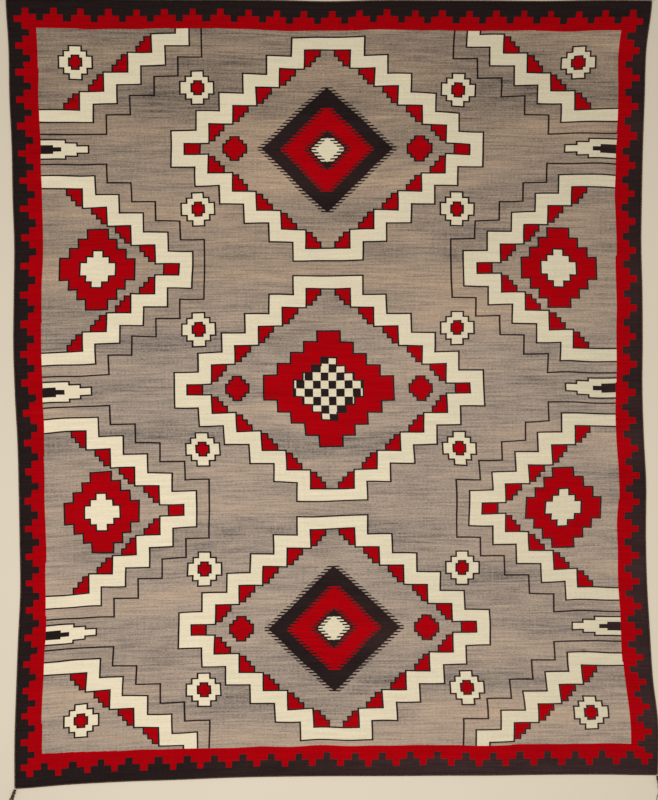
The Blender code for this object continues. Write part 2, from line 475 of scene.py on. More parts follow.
class Reading:
    """A value in a node tree. A sum with it adds Math nodes, and a mask is 0 or 1."""

    def __init__(self, output):
        self.output = output
        self.tree = output.id_data

    def math(self, operation, *others):
        node = self.tree.nodes.new("ShaderNodeMath")
        node.operation = operation
        for socket, value in zip(node.inputs, (self, *others)):
            feed(socket, value)
        return Reading(node.outputs[0])

    def __add__(self, other):
        return self.math("ADD", other)

    def __sub__(self, other):
        return self.math("SUBTRACT", other)

    def __mul__(self, other):
        return self.math("MULTIPLY", other)

    def __truediv__(self, other):
        return self.math("DIVIDE", other)

    def __lt__(self, other):
        return self.math("LESS_THAN", other)

    def __gt__(self, other):
        return self.math("GREATER_THAN", other)

    def __and__(self, other):
        return self.math("MULTIPLY", other)

    def __or__(self, other):
        return self.math("MAXIMUM", other)

    def __abs__(self):
        return self.math("ABSOLUTE")

    def taken_from(self, whole):
        return self.math("MULTIPLY_ADD", -1, whole)

    def floor(self):
        return self.math("FLOOR")

    def least(self, other):
        return self.math("MINIMUM", other)

    def most(self, other):
        return self.math("MAXIMUM", other)

    def held(self):
        """Return the value held between 0 and 1."""
        return self.most(0).least(1)

    def ramp(self, start, length):
        """Return 0 up to a start, 1 from a length beyond it, and a slope between."""
        return ((self - start) / length).held()

    def fold(self, half):
        """Return the distance to the nearest even multiple of half."""
        return self.math("PINGPONG", half)

    def choose(self, chosen, otherwise):
        """Return chosen where this mask is 1, and otherwise where it is 0."""
        node = self.tree.nodes.new("ShaderNodeMix")
        node.data_type = "FLOAT"
        feed(node.inputs["Factor"], self)
        for number, value in zip(MIX_NUMBERS, (otherwise, chosen)):
            feed(node.inputs[number], value)
        return Reading(node.outputs[0])


def feed(socket, value):
    """Link a reading or an output to a socket, or set the socket to a plain value."""
    if isinstance(value, Reading):
        value = value.output
    if isinstance(value, bpy.types.NodeSocket):
        value.id_data.links.new(value, socket)
    else:
        socket.default_value = value


def tint(colour):
    """Return a colour property as the four numbers that a colour socket takes."""
    return (colour[0], colour[1], colour[2], 1)


def lay_out(tree):
    """Spread the nodes of a tree in rows, so that they can be told apart."""
    for number, node in enumerate(tree.nodes):
        row, column = divmod(number, NODES_IN_ROW)
        node.location = (NODE_SPACING[0] * column, -NODE_SPACING[1] * row)


def new_group(name, outputs, numbers, vectors=()):
    """Make a node group from the labels of its outputs, its numbers with their defaults and its vectors.

    Return its tree, its inputs as readings and its output node.
    """
    tree = bpy.data.node_groups.new(name, "ShaderNodeTree")
    for label in vectors:
        tree.interface.new_socket(label, in_out="INPUT", socket_type="NodeSocketVector")
    for label, default in numbers.items():
        socket = tree.interface.new_socket(label, in_out="INPUT", socket_type="NodeSocketFloat")
        socket.default_value = default
    for label in outputs:
        tree.interface.new_socket(label, in_out="OUTPUT", socket_type="NodeSocketFloat")
    start = tree.nodes.new("NodeGroupInput")
    readings = {label: Reading(start.outputs[label]) for label in (*vectors, *numbers)}
    return tree, readings, tree.nodes.new("NodeGroupOutput")


def place_group(tree, group, values):
    """Place a node group in a tree and feed its inputs. Return its node."""
    node = tree.nodes.new("ShaderNodeGroup")
    node.node_tree = group
    for label, value in values.items():
        feed(node.inputs[label], value)
    return node


def vector_math(tree, operation, *vectors):
    """Add a Vector Math node, fed with some vectors, and return it."""
    node = tree.nodes.new("ShaderNodeVectorMath")
    node.operation = operation
    for socket, vector in zip(node.inputs, vectors):
        feed(socket, vector)
    return node


def noise_reading(tree, vector, name):
    """Add one of the smooth noises over a vector and return it, from about -1 to 1."""
    waves, detail, seed = NOISES[name]
    node = tree.nodes.new("ShaderNodeTexNoise")
    node.noise_dimensions = "4D"
    feed(node.inputs["Vector"], vector_math(tree, "MULTIPLY", vector, waves).outputs[0])
    node.inputs["W"].default_value = seed
    node.inputs["Scale"].default_value = 1
    node.inputs["Detail"].default_value = detail
    return (Reading(node.outputs["Fac"]) - 0.5) * NOISE_GAIN


def weighed(readings, weights):
    """Return the even part of some weights, and each named reading times its weight, as one sum."""
    total = weights.get("even", 0)
    for name, weight in weights.items():
        if name != "even":
            total = readings[name] * weight + total
    return total


def brightened(tree, colour, factor):
    """Scale a colour by a reading."""
    node = vector_math(tree, "SCALE", colour)
    feed(node.inputs["Scale"], factor)
    return node.outputs[0]


def mixed(tree, factor, first, second):
    """Mix two colours by a factor."""
    node = tree.nodes.new("ShaderNodeMix")
    node.data_type = "RGBA"
    feed(node.inputs["Factor"], factor)
    for number, colour in zip(MIX_COLOURS, (first, second)):
        feed(node.inputs[number], colour)
    return node.outputs[MIXED_COLOUR]


STAIR_INPUTS = {
    "Across": 0,
    "Along": 0,
    "Half Width": 10,
    "Step Width": 2,
    "Step Height": 2,
    "Steps": 5,
    "Drawn In Across": 0,
    "Drawn In Along": 0,
}


def stair_readings(given):
    """Return the height on a stair, the number of the step there and how far that step reaches."""
    raised = given["Along"] + given["Drawn In Along"]
    stair = (raised / given["Step Height"]).floor().most(0)
    reach = given["Half Width"] - given["Drawn In Across"] - stair * given["Step Width"]
    return raised, stair, reach


def stepped_diamond_group():
    """A diamond whose four sides are stairs, as a mask."""
    tree, given, end = new_group("Stepped diamond", ("Inside",), STAIR_INPUTS)
    raised, stair, reach = stair_readings(given)
    feed(end.inputs["Inside"], (given["Across"] < reach) & (stair < given["Steps"]))
    lay_out(tree)
    return tree


def stair_corner_group():
    """Small stepped triangles in the inner corners of a stair, as a mask."""
    cells = {"Cell Width": 5, "Cell Height": 12, "Cells": 3, "Spread": 0}
    tree, given, end = new_group("Stair corner", ("Inside",), {**STAIR_INPUTS, **cells})
    raised, stair, reach = stair_readings(given)
    from_side = reach - given["Across"]
    from_tread = (stair + 1) * given["Step Height"] - raised
    columns = ((from_side - given["Spread"]) / given["Cell Width"]).floor().most(0)
    rows = ((from_tread - given["Spread"] * 2) / given["Cell Height"]).floor().most(0)
    inside = ((columns + rows) < given["Cells"]) & (from_side > 0) & (stair < given["Steps"])
    feed(end.inputs["Inside"], inside)
    lay_out(tree)
    return tree


def serrated_lozenge_group():
    """A lozenge with weft teeth along its sides, as a mask."""
    sizes = {"Half Width": 40, "Half Height": 90, "Tooth Length": 4, "Tooth Rows": 4}
    tree, given, end = new_group("Serrated lozenge", ("Inside",), {"Across": 0, "Along": 0, **sizes})
    share = (given["Along"] / given["Half Height"]).taken_from(1)
    tooth = (given["Along"].fold(given["Tooth Rows"]) > given["Tooth Rows"] * 0.5) * given["Tooth Length"]
    inside = (given["Across"] < given["Half Width"] * share + tooth) & (share > 0)
    feed(end.inputs["Inside"], inside)
    lay_out(tree)
    return tree


class Chart:
    """A weaver's chart: it lays one yarn over another where a mask is set."""

    def __init__(self, tree, ground):
        self.tree = tree
        self.yarn = ground

    def lay(self, mask, yarn):
        self.yarn = mask.choose(yarn, self.yarn)

    def place(self, group, across, along, layers, extra=None):
        """Lay the layers of a motif round a place, given as distances across and along."""
        for shape, yarn, drawn_across, drawn_along in layers:
            values = dict(zip(SHAPE_INPUTS, SHAPES[shape]), Across=across, Along=along)
            values["Drawn In Across"] = drawn_across
            values["Drawn In Along"] = drawn_along
            values.update(extra or {})
            self.lay(Reading(place_group(self.tree, group, values).outputs["Inside"]), yarn)


def chart_field(tree, across, along):
    """Chart the field: a lattice of stepped diamonds with hearts, and crosses in its lanes."""
    diamond = stepped_diamond_group()
    corner = stair_corner_group()
    lozenge = serrated_lozenge_group()
    chart = Chart(tree, FIELD)
    beside = abs(across)
    outward = abs(along)
    middle_rows = along.fold(LATTICE_ROWS)
    side_rows = middle_rows.taken_from(LATTICE_ROWS)
    side_warps = beside.taken_from(FIELD_HALF_WARPS)

    for warps, rows, band in ((side_warps, side_rows, SIDE_BAND), (beside, middle_rows, MIDDLE_BAND)):
        chart.place(diamond, warps, rows, band)
        shape, ground, drawn_across, drawn_along = band[-1]
        filled_rows = rows + (outward > LAST_FILL_ROW) * LATTICE_ROWS
        for yarn, spread in CORNER_FILLS:
            fill = ((shape, yarn, drawn_across, drawn_along),)
            chart.place(corner, warps, filled_rows, fill, dict(CORNER_CELL, Spread=spread))

    far_out = outward > LAST_HEART_ROW
    heart_warps = abs(side_warps - SIDE_HEART_WARPS) + far_out * FIELD_HALF_WARPS
    chart.place(diamond, heart_warps, side_rows, SIDE_HEART)
    chart.place(diamond, side_warps, middle_rows, ROOT)

    for yarn, half_width, half_height in LOZENGES:
        values = dict(TOOTH, Across=beside, Along=middle_rows)
        values["Half Width"] = half_width
        values["Half Height"] = half_height
        shape = Reading(place_group(tree, lozenge, values).outputs["Inside"])
        chart.lay(shape & (outward > LATTICE_ROWS), yarn)

    chart.place(diamond, beside, outward, HEART)
    light_check = ((across / CHECK_WARPS).floor() + (along / CHECK_ROWS).floor()).fold(1) < 0.5
    checks = (("kernel", CREAM, 0, 0),)
    chart.place(diamond, beside + light_check * FIELD_HALF_WARPS, outward, checks)

    chart.place(diamond, abs(beside - CROSS_WARPS), abs(middle_rows - LATTICE_ROWS / 2), CROSS)
    corner_warps, corner_rows = CORNER_CROSS
    chart.place(diamond, abs(beside - corner_warps), abs(outward - corner_rows), CROSS)
    chart.place(diamond, abs(beside - SMALL_CROSS_WARPS), middle_rows, SMALL_CROSS)
    return chart


def tip_distance(share, side):
    """Return how far a place along a side is from the nearest tip, in tips."""
    count, margin, whole_wave, half_wave = TIPS[side]
    even = (share - margin) * ((count - 1) / (1 - 2 * margin))
    drift = (share * (2 * math.pi)).math("SINE") * whole_wave
    drift = drift + (share * math.pi).math("SINE") * half_wave
    return (even + drift).fold(0.5)


def border_share(distance, change, depth, growth):
    """Return a distance from the edge as a share of the border's depth, which changes along it."""
    return distance / (change * growth + depth)


def chart_border(chart, across, along, half_warps, half_rows):
    """Chart the border: a dark edge and a red frame that bite into each other in small steps."""
    width_share = across / (2 * half_warps) + 0.5
    length_share = along.taken_from(half_rows) / (2 * half_rows)
    sway = (length_share * (2 * math.pi)).math("SINE")
    left = border_share(across + half_warps, sway, *DEPTHS["left"])
    right = border_share(across.taken_from(half_warps), sway, *DEPTHS["right"])
    top = border_share(along.taken_from(half_rows), width_share, *DEPTHS["top"])
    bottom = border_share(along + half_rows, width_share, *DEPTHS["bottom"])
    from_side = left.least(right)
    from_end = top.least(bottom)
    at_top = along > 0
    at_left = across < 0
    end_phase = at_top.choose(tip_distance(width_share, "top"), tip_distance(width_share, "bottom"))
    side_phase = at_left.choose(tip_distance(length_share, "left"), tip_distance(length_share, "right"))
    flare = (width_share.taken_from(FLARE_REACH) / FLARE_REACH).most(0) * at_top.taken_from(1) * FLARE

    end_edge, end_step, end_frame = END_ROWS
    side_edge, side_step, side_frame = SIDE_ROWS
    inside_edge = (from_end > end_edge) & (from_side > side_edge)
    inside_step = (from_end > end_step) & (from_side > side_step)
    end_tip = (end_phase < TIP_HALF) & (from_end < end_step)
    side_tip = (side_phase < TIP_HALF) & (from_side < side_step)
    end_tongue = (end_phase > 0.5 - TONGUE_HALF) & (from_end < end_frame)
    side_tongue = (side_phase > 0.5 - TONGUE_HALF) & (from_side < side_frame)
    is_red = inside_step | (inside_edge & (end_tip | side_tip))
    in_tongue = inside_step & (end_tongue | side_tongue)
    is_border = from_side.least(from_end - flare) < 1
    chart.lay(is_border, DARK)
    chart.lay(is_border & is_red & in_tongue.taken_from(1), RED)


def rug_chart_group(sizes):
    """The whole pattern: it takes places in warps and rows, and gives a mask for each yarn."""
    yarns = {"Cream": CREAM, "Red": RED, "Dark": DARK}
    tree, given, end = new_group("Rug chart", tuple(yarns), {"Across": 0, "Along": 0})
    half_warps = CLOTH_HALF_WIDTH / sizes.warp_pitch
    half_rows = CLOTH_HALF_LENGTH / sizes.weft_pitch
    chart = chart_field(tree, given["Across"], given["Along"])
    chart_border(chart, given["Across"], given["Along"], half_warps, half_rows)
    for label, yarn in yarns.items():
        feed(end.inputs[label], chart.yarn.math("COMPARE", yarn, SAME_YARN))
    lay_out(tree)
    return tree


def wool_streaks_group():
    """Uneven dye and spinning. The yarn runs the first way of the vector, in metres."""
    tree, given, end = new_group("Wool streaks", ("Bands", "Tone", "Fibres"), {}, ("Vector",))
    names = ("bands", "streaks", "flecks", "ribs", "fibres")
    layers = {name: noise_reading(tree, given["Vector"], name) for name in names}
    feed(end.inputs["Bands"], layers["bands"])
    feed(end.inputs["Tone"], weighed(layers, TONE))
    feed(end.inputs["Fibres"], layers["fibres"])
    lay_out(tree)
    return tree


def stain_group():
    """A soft round stain round a centre, as a mask."""
    tree, given, end = new_group("Stain", ("Mask",), {}, ("Vector", "Centre", "Narrowing"))
    offset = vector_math(tree, "SUBTRACT", given["Vector"], given["Centre"]).outputs[0]
    scaled = vector_math(tree, "MULTIPLY", offset, given["Narrowing"]).outputs[0]
    distance = Reading(vector_math(tree, "LENGTH", scaled).outputs["Value"])
    feed(end.inputs["Mask"], distance.taken_from(STAIN_SOFTNESS).held())
    lay_out(tree)
    return tree


def weft_beads_group():
    """The relief of weft-faced plain weave: ribs over the warps, beads where the wefts pass."""
    tree, given, end = new_group("Weft beads", ("Height", "Furrow"), {"Across": 0, "Along": 0})
    rib = given["Across"].fold(0.5) * 2
    round_rib = (rib * rib).taken_from(1).math("SQRT")
    column = given["Across"].math("ROUND")
    bead = ((given["Along"] + column) * math.pi).math("COSINE")
    feed(end.inputs["Height"], round_rib * RIB_HEIGHT + bead * BEAD_HEIGHT * round_rib)
    # The furrows between the ribs, where painted shade darkens the colour
    feed(end.inputs["Furrow"], rib > FURROW_START)
    lay_out(tree)
    return tree


def shared_group(name, make):
    """Return the named node group, made on its first use."""
    return bpy.data.node_groups.get(name) or make()


def new_material(name):
    """Make a material. Return it, its tree and its shader."""
    material = bpy.data.materials.new(name)
    material.use_nodes = True
    return material, material.node_tree, material.node_tree.nodes["Principled BSDF"]


def new_wool(name, sheen):
    """Make a wool material. Return it, its tree and its shader."""
    material, tree, shader = new_material(name)
    shader.inputs["Specular IOR Level"].default_value = WOOL_SPECULAR
    shader.inputs["Sheen Weight"].default_value = sheen
    shader.inputs["Sheen Roughness"].default_value = SHEEN_ROUGHNESS
    return material, tree, shader


def add_bump(tree, shader, height, distance, strength):
    """Raise the surface of a material by a height, in metres for each unit of it."""
    bump = tree.nodes.new("ShaderNodeBump")
    bump.inputs["Strength"].default_value = strength
    bump.inputs["Distance"].default_value = distance
    feed(bump.inputs["Height"], height)
    feed(shader.inputs["Normal"], bump.outputs["Normal"])


def cloth_reading(tree):
    """Return the flat map of a piece as a vector and as its two readings."""
    source = tree.nodes.new("ShaderNodeUVMap")
    source.uv_map = "cloth"
    split = tree.nodes.new("ShaderNodeSeparateXYZ")
    feed(split.inputs[0], source.outputs["UV"])
    return source.outputs["UV"], Reading(split.outputs[0]), Reading(split.outputs[1])


def wool_readings(tree, vector):
    """Return the bands, tone and fibres of the wool over a flat map, by name."""
    streaks = place_group(tree, shared_group("Wool streaks", wool_streaks_group), {"Vector": vector})
    return {label.lower(): Reading(streaks.outputs[label]) for label in ("Bands", "Tone", "Fibres")}


def hand_wander(tree, vector, way):
    """Return how far the hand strays from the chart one way at each place, from about -1 to 1."""
    slow = noise_reading(tree, vector, "slow stray " + way)
    quick = noise_reading(tree, vector, "quick stray " + way)
    return slow * SLOW_SHARE + quick * (1 - SLOW_SHARE)


def woven_material(sizes, colours):
    """Tapestry-woven wool: the chart in uneven hand-spun yarn."""
    material, tree, shader = new_wool("woven_wool", CLOTH_SHEEN)
    vector, across_metres, along_metres = cloth_reading(tree)
    wool = wool_readings(tree, vector)
    wool["patches"] = noise_reading(tree, vector, "patches")
    wool["across"] = across_metres
    wool["along"] = along_metres
    wool["far_half"] = along_metres.ramp(*FAR_HALF)
    # Painted shade: the field grows darker towards the top end
    wool["painted_top_shade"] = along_metres.ramp(*PAINTED_TOP_SHADE_RAMP)

    across = across_metres / sizes.warp_pitch
    along = along_metres / sizes.weft_pitch
    stray_across = hand_wander(tree, vector, "across") * sizes.wander_warps
    stray_along = hand_wander(tree, vector, "along") * sizes.wander_rows
    counted_across = (across + stray_across).floor() + 0.5
    counted_along = (along + stray_along).floor() + 0.5
    chart = place_group(tree, rug_chart_group(sizes), {"Across": counted_across, "Along": counted_along})

    field = mixed(tree, weighed(wool, TAN_SHARE).held(), tint(colours.field), tint(colours.field_tan))
    field = brightened(tree, field, weighed(wool, FIELD_SHADE))
    cream = brightened(tree, colours.cream, weighed(wool, CREAM_SHADE))
    red = brightened(tree, colours.red, weighed(wool, RED_SHADE))
    # Dark yarn: browner at random, and lighter towards the bottom right as painted light
    dark = mixed(tree, weighed(wool, BROWN_AND_PAINTED_LIGHT_SHARE).held(), tint(colours.dark), tint(colours.dark_brown))
    dark = brightened(tree, dark, weighed(wool, DARK_SHADE))

    yarn = mixed(tree, chart.outputs["Cream"], field, cream)
    yarn = mixed(tree, chart.outputs["Red"], yarn, red)
    yarn = mixed(tree, chart.outputs["Dark"], yarn, dark)

    beads = place_group(tree, weft_beads_group(), {"Across": across, "Along": along})
    wool["beads"] = Reading(beads.outputs["Height"])
    # Painted shade in the furrows between the ribs, then the real stains
    shade = (Reading(beads.outputs["Furrow"]) * FURROW_SHADE).taken_from(1)
    stain = stain_group()
    for place_across, place_along, reach_across, reach_along, strength in STAINS:
        values = {
            "Vector": vector,
            "Centre": (place_across, place_along, 0),
            "Narrowing": (1 / reach_across, 1 / reach_along, 0),
        }
        mask = Reading(place_group(tree, stain, values).outputs["Mask"])
        shade = shade * (mask * strength).taken_from(1)
    feed(shader.inputs["Base Color"], brightened(tree, yarn, shade))
    feed(shader.inputs["Roughness"], weighed(wool, CLOTH_ROUGHNESS))
    add_bump(tree, shader, weighed(wool, CLOTH_HEIGHT), *CLOTH_BUMP)
    lay_out(tree)
    return material


def cord_material(name, colour, light, slant):
    """Plied wool cord, with lighter flecks, and the slant of its fibres both in its relief and as painted
    shade and highlight in its colour.
    """
    material, tree, shader = new_wool(name, CORD_SHEEN)
    vector, along, around = cloth_reading(tree)
    wool = wool_readings(tree, vector)
    wool["patches"] = noise_reading(tree, vector, "cord patches")
    wool["slant"] = ((along * slant + around * ROUND_SLANT) * (2 * math.pi)).math("SINE")
    yarn = mixed(tree, weighed(wool, LIGHT_SHARE).held(), tint(colour), tint(light))
    # The slant paints shade and highlight into the colour along the twist of the fibres, over the real
    # flecks and fibre tone
    feed(shader.inputs["Base Color"], brightened(tree, yarn, weighed(wool, CORD_SHADE)))
    feed(shader.inputs["Roughness"], weighed(wool, CORD_ROUGHNESS))
    add_bump(tree, shader, weighed(wool, CORD_HEIGHT), *CORD_BUMP)
    lay_out(tree)
    return material


def floor_material(colour):
    """A plain pale floor."""
    material, tree, shader = new_material("pale_floor")
    place = tree.nodes.new("ShaderNodeTexCoord")
    grain = {"grain": noise_reading(tree, place.outputs["Object"], "floor grain")}
    feed(shader.inputs["Base Color"], brightened(tree, colour, weighed(grain, FLOOR_SHADE)))
    shader.inputs["Roughness"].default_value = FLOOR_ROUGHNESS
    lay_out(tree)
    return material


def dress(piece, material, node):
    """Give a piece its material, let it stand for a CAD node and ride on the one body."""
    piece.data.materials.append(material)
    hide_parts(node)
    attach(piece, "root")


def mesh_object(name, points, faces, maps):
    """Make a smooth mesh object with its flat maps, given for each face corner."""
    mesh = bpy.data.meshes.new(name)
    mesh.from_pydata([tuple(point) for point in points], [], faces)
    for label, places in maps.items():
        layer = mesh.uv_layers.new(name=label)
        for entry, place in zip(layer.data, places):
            entry.uv = place
    mesh.shade_smooth()
    piece = bpy.data.objects.new(name, mesh)
    bpy.context.scene.collection.objects.link(piece)
    return piece


def inset(share, margin):
    """Draw a share from 0 to 1 in by a margin at both ends."""
    return margin + (1 - 2 * margin) * share


def sheet_points(columns, rows):
    """Return the points of the underside, the rim and the top, and their shares of the cloth."""
    thickness = BODY_HIGH[2] - BODY_LOW[2]
    centre = cloth_place(0.5, 0.5)
    levels = ((0, RIM_INSET), (thickness / 2, 0), (thickness, RIM_INSET))
    points = []
    shares = []
    index = {}
    for level, (height, step_back) in enumerate(levels):
        for row in range(rows + 1):
            for column in range(columns + 1):
                at_side = column in (0, columns)
                at_end = row in (0, rows)
                if level == 1 and not (at_side or at_end):
                    continue
                across = column / columns
                along = row / rows
                place = cloth_place(across, along)
                lift = lie_height(place)
                step_in = Vector((0, 0, 0))
                pull = CORNER_PULL if at_side and at_end else 0
                if at_side:
                    step_in.x = math.copysign(step_back + pull, centre.x - place.x)
                if at_end:
                    step_in.y = math.copysign(step_back + pull, centre.y - place.y)
                index[level, column, row] = len(points)
                points.append(place + step_in + SHIFT + UP * (height + lift))
                shares.append((across, along))
    return points, shares, index


def sheet_faces(columns, rows, index):
    """Return the faces of the closed sheet."""
    faces = []
    for row in range(rows):
        for column in range(columns):
            corners = ((column, row), (column, row + 1), (column + 1, row + 1), (column + 1, row))
            faces.append([index[2, *corner] for corner in corners])
            faces.append([index[0, *corner] for corner in reversed(corners)])
    outline = [(0, row) for row in range(rows)]
    outline += [(column, rows) for column in range(columns)]
    outline += [(columns, row) for row in range(rows, 0, -1)]
    outline += [(column, 0) for column in range(columns, 0, -1)]
    for here, following in zip(outline, outline[1:] + outline[:1]):
        for level in (0, 1):
            lower = [index[level, *here], index[level, *following]]
            faces.append(lower + [index[level + 1, *following], index[level + 1, *here]])
    return faces


def make_woven_sheet(sizes):
    """Build the woven body as a thin closed sheet with the rug's own outline."""
    columns = round(2 * CLOTH_HALF_WIDTH / sizes.mesh_step)
    rows = round(2 * CLOTH_HALF_LENGTH / sizes.mesh_step)
    points, shares, index = sheet_points(columns, rows)
    faces = sheet_faces(columns, rows, index)
    cloth_map = []
    bake_map = []
    for face in faces:
        for corner in face:
            across, along = shares[corner]
            cloth_map.append(
                ((2 * across - 1) * CLOTH_HALF_WIDTH, (1 - 2 * along) * CLOTH_HALF_LENGTH)
            )
            bake_map.append((inset(across, BAKE_MARGIN), inset(1 - along, BAKE_MARGIN)))
    return mesh_object("woven_sheet", points, faces, {"cloth": cloth_map, "OFBake": bake_map})


class YarnMesh:
    """Round yarns collected in one mesh, each with its own strip of the flat maps."""

    def __init__(self, strips):
        self.strips = strips
        self.used = 0
        self.points = []
        self.faces = []
        self.cloth_map = []
        self.bake_map = []

    def add_yarn(self, centres, radii, sides):
        """Add one closed yarn along its centres, round in the plane across its run."""
        first = len(self.points)
        length = 0
        lengths = []
        for number, (centre, radius) in enumerate(zip(centres, radii)):
            before = centres[max(number - 1, 0)]
            after = centres[min(number + 1, len(centres) - 1)]
            run = (after - before).normalized()
            side = run.cross(UP).normalized()
            over = side.cross(run)
            length += (centre - before).length
            lengths.append(length)
            for corner in range(sides):
                angle = 2 * math.pi * corner / sides
                offset = side * math.cos(angle) + over * math.sin(angle)
                self.points.append(centre + offset * radius)
        for ring in range(len(centres) - 1):
            for corner in range(sides):
                following = (corner + 1) % sides
                start = first + ring * sides
                self.faces.append(
                    (start + corner, start + following, start + sides + following, start + sides + corner)
                )
                for step, turn in ((0, corner), (0, corner + 1), (1, corner + 1), (1, corner)):
                    self.map_corner(lengths[ring + step], lengths[-1], turn, sides, radii[ring])
        last = first + (len(centres) - 1) * sides
        self.faces.append(tuple(first + corner for corner in reversed(range(sides))))
        self.faces.append(tuple(last + corner for corner in range(sides)))
        for distance in (0, lengths[-1]):
            for corner in range(sides):
                self.map_corner(distance, lengths[-1], corner, sides, radii[0])
        self.used += 1

    def map_corner(self, distance, length, corner, sides, radius):
        """Map one face corner: distance along the yarn, and round it."""
        turn = corner / sides
        strip = self.used % self.strips
        self.cloth_map.append((distance, turn * 2 * math.pi * radius))
        self.bake_map.append((distance / length, (strip + inset(turn, STRIP_MARGIN)) / self.strips))

    def make_object(self, name):
        maps = {"cloth": self.cloth_map, "OFBake": self.bake_map}
        return mesh_object(name, self.points, self.faces, maps)


def twisted(route, offset, pitch, start_angle):
    """Return the centres of one ply that winds round a level route at an offset."""
    centres = []
    distance = 0
    for number, place in enumerate(route):
        before = route[max(number - 1, 0)]
        after = route[min(number + 1, len(route) - 1)]
        distance += (place - before).length
        side = (after - before).cross(UP).normalized()
        angle = start_angle + 2 * math.pi * distance / pitch
        centres.append(place + (side * math.cos(angle) + UP * math.sin(angle)) * offset)
    return centres


EDGE_CORDS = (
    # node, start corner, end corner, draw table, inward
    ("end_cord_top", "top_left", "top_right", TOP_DRAWS, Vector((0, -1, 0))),
    ("end_cord_bottom", "bottom_left", "bottom_right", BOTTOM_DRAWS, Vector((0, 1, 0))),
    ("side_cord_left", "top_left", "bottom_left", LEFT_DRAWS, Vector((1, 0, 0))),
    ("side_cord_right", "top_right", "bottom_right", RIGHT_DRAWS, Vector((-1, 0, 0))),
)


def cord_route(start, end, draws, inward):
    """Return the route of an edge cord, close along the rim of the weaving."""
    length = (CORNERS[end] - CORNERS[start]).length
    steps = round(length / CORD_STEP)
    edge = [edge_place(start, end, draws, inward, step / steps) for step in range(steps + 1)]
    distance = CORD_GAP + CORD_DIAMETER / 2 - CORD_TUCK
    route = []
    for number, place in enumerate(edge):
        before = edge[max(number - 1, 0)]
        after = edge[min(number + 1, steps)]
        outward = (after - before).cross(UP).normalized()
        if outward.dot(inward) > 0:
            outward = -outward
        height = UP * (CORD_DIAMETER / 2 + lie_height(place))
        route.append(place + outward * distance + SHIFT + height)
    return route


def make_edge_cord(node, start, end, draws, inward):
    """Build one edge cord from two plies that twist round each other."""
    route = cord_route(start, end, draws, inward)
    ply_radius = CORD_DIAMETER * CORD_PLY_SHARE
    offset = CORD_DIAMETER / 2 - ply_radius
    cord = YarnMesh(strips=2)
    for start_angle in (0, math.pi):
        centres = twisted(route, offset, CORD_PITCH, start_angle)
        cord.add_yarn(centres, [ply_radius] * len(centres), CORD_SIDES)
    return cord.make_object(node + "_plied")


def strand_place(column, length, bend, part):
    """Return how far along and across the tassel a strand is at a part of its length."""
    middle = (STRANDS - 1) / 2
    start = (middle - column) * STRAND_SPACING
    swing = (middle - column) / middle * FAN_ANGLE / 2
    own_length = length * (1 - STRAND_SHORTENING * (2 * column % 3))
    ahead = part * own_length * math.cos(swing)
    fan = ahead * math.tan(swing) * eased(part * FAN_ONSET)
    wave = bend * part * math.sin(BEND_SWEEP * part + BEND_SHIFT * column)
    return ahead, start + fan + wave * eased(part * BEND_ONSET)


def add_fray(yarns, tip, run, chance):
    """Add the loose fibres at the end of one strand, lying on the floor."""
    side = run.cross(UP).normalized()
    for fibre in range(FRAY_FIBRES):
        spread = chance.uniform(-1, 1) * FRAY_SPREAD
        curl = chance.uniform(-1, 1) * FRAY_SPREAD
        length = FRAY_LENGTH * chance.uniform(FRAY_SHORTEST, 1)
        centres = []
        for step in range(FRAY_STEPS + 1):
            part = step / FRAY_STEPS
            place = tip + run * (part * length - FRAY_TUCK)
            place += side * (spread * part + curl * part * part)
            place.z = max(tip.z * (1 - part), FRAY_RADIUS)
            centres.append(place)
        yarns.add_yarn(centres, [FRAY_RADIUS] * len(centres), FRAY_SIDES)


def add_neck(yarns, root, ahead):
    """Add the two plies of a tassel's twisted neck, which sink and thin where it opens."""
    steps = round(PLY_END / NECK_STEP)
    neck = []
    radii = []
    for step in range(steps + 1):
        along = PLY_END * step / steps
        opened = eased((along - SPLIT_START) / (PLY_END - SPLIT_START))
        width = NECK_START_WIDTH + (1 - NECK_START_WIDTH) * eased(along / NECK_START)
        neck.append(root + ahead * along + UP * (NECK_RADIUS * (1 - NECK_SINKING * opened)))
        radii.append(NECK_PLY_RADIUS * width * (1 - NECK_THINNING * opened))
    for start_angle in (0, math.pi):
        centres = twisted(neck, NECK_RADIUS - NECK_PLY_RADIUS, NECK_PITCH, start_angle)
        for centre, radius in zip(centres, radii):
            centre.z = max(centre.z, radius)
        yarns.add_yarn(centres, radii, NECK_SIDES)


def strand_route(root, ahead, column, length, bend):
    """Return the route of one strand, down through the opening neck and out over the floor."""
    side = Vector((-ahead.y, ahead.x, 0))
    start = ((STRANDS - 1) / 2 - column) * STRAND_SPACING
    floor_height = STRAND_PLY_RADIUS + STRAND_PLY_OFFSET
    route = []
    for step in range(INNER_SAMPLES):
        part = step / INNER_SAMPLES
        along = SPLIT_START + (NECK_LENGTH - SPLIT_START) * part
        across = start * (STRAND_START_SPREAD + (1 - STRAND_START_SPREAD) * eased(part))
        height = floor_height + (NECK_RADIUS - floor_height) * (1 - eased(part * STRAND_DROP_ONSET))
        route.append(root + ahead * along + side * across + UP * height)
    for step in range(OUTER_SAMPLES + 1):
        along, across = strand_place(column, length, bend, step / OUTER_SAMPLES)
        route.append(root + ahead * (NECK_LENGTH + along) + side * across + UP * floor_height)
    return route


